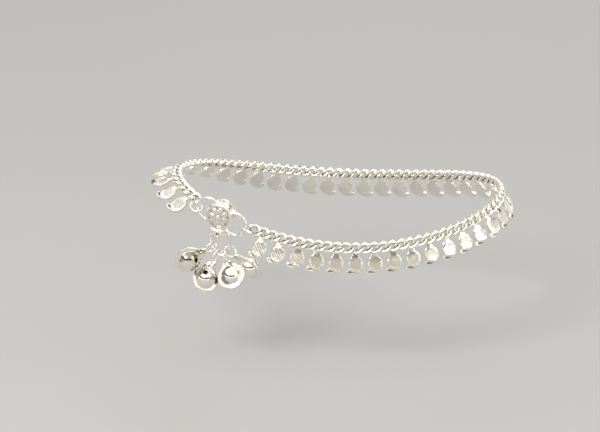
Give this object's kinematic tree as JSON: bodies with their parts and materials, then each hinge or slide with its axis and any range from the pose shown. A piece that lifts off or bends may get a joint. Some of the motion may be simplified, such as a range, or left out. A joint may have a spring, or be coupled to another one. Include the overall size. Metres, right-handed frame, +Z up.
{
  "type": "payal anklet",
  "caption": "Closed silver curb-chain anklet with a fringe of small paisley drops, a round two-plate clasp and a cluster of round jingle bells.",
  "frame": {"origin": "middle of the opening that the ankle fills, at the middle height of the worn loop", "axes": "+X along the loop's long way towards the heel, the instep end at -X; the clasp is on the -Y side; +Z up the leg"},
  "size_m": [0.1087, 0.0642, 0.0294],
  "materials": {
    "drawn_silver": "bright silver wire, drawn smooth and polished, slightly dull in the recesses",
    "stamped_silver": "silver stamped in relief: bright raised rims, darker pits and grooves",
    "polished_silver": "mirror-polished thin silver",
    "pellet_metal": "dull tumbled metal ball"
  },
  "bodies": {
    "anklet": {"chain_band": "drawn_silver", "paisley_drop_01": "stamped_silver", "paisley_drop_02": "stamped_silver", "paisley_drop_03": "stamped_silver", "paisley_drop_04": "stamped_silver", "paisley_drop_05": "stamped_silver", "paisley_drop_06": "stamped_silver", "paisley_drop_07": "stamped_silver", "paisley_drop_08": "stamped_silver", "paisley_drop_09": "stamped_silver", "paisley_drop_10": "stamped_silver", "paisley_drop_11": "stamped_silver", "paisley_drop_12": "stamped_silver", "paisley_drop_13": "stamped_silver", "paisley_drop_14": "stamped_silver", "paisley_drop_15": "stamped_silver", "paisley_drop_16": "stamped_silver", "paisley_drop_17": "stamped_silver", "paisley_drop_18": "stamped_silver", "paisley_drop_19": "stamped_silver", "paisley_drop_20": "stamped_silver", "paisley_drop_21": "stamped_silver", "paisley_drop_22": "stamped_silver", "paisley_drop_23": "stamped_silver", "paisley_drop_24": "stamped_silver", "paisley_drop_25": "stamped_silver", "paisley_drop_26": "stamped_silver", "paisley_drop_27": "stamped_silver", "paisley_drop_28": "stamped_silver", "paisley_drop_29": "stamped_silver", "paisley_drop_30": "stamped_silver", "paisley_drop_31": "stamped_silver", "paisley_drop_32": "stamped_silver", "paisley_drop_33": "stamped_silver", "paisley_drop_34": "stamped_silver", "paisley_drop_35": "stamped_silver", "paisley_drop_36": "stamped_silver", "paisley_drop_37": "stamped_silver", "paisley_drop_38": "stamped_silver", "paisley_drop_39": "stamped_silver", "paisley_drop_40": "stamped_silver", "paisley_drop_41": "stamped_silver", "paisley_drop_42": "stamped_silver", "paisley_drop_43": "stamped_silver", "clasp_front_disc": "stamped_silver", "clasp_back_plate": "polished_silver", "clasp_screw": "polished_silver", "ring_left": "drawn_silver", "ring_right": "drawn_silver", "end_link_left": "drawn_silver", "end_link_right": "drawn_silver"},
    "bell_cluster": {"bell_ring": "drawn_silver", "bell_1": "polished_silver", "bell_2": "polished_silver", "bell_3": "polished_silver", "bell_4": "polished_silver", "pellet_1": "pellet_metal", "pellet_2": "pellet_metal", "pellet_3": "pellet_metal", "pellet_4": "pellet_metal"}
  },
  "joints": [
    {"name": "bell_swing", "type": "hinge", "parent": "anklet", "child": "bell_cluster", "pos_m": [-0.03453, -0.02107, -0.00282], "axis": [-0.342, -0.9397, 0], "range_deg": [-30, 10]}
  ]
}
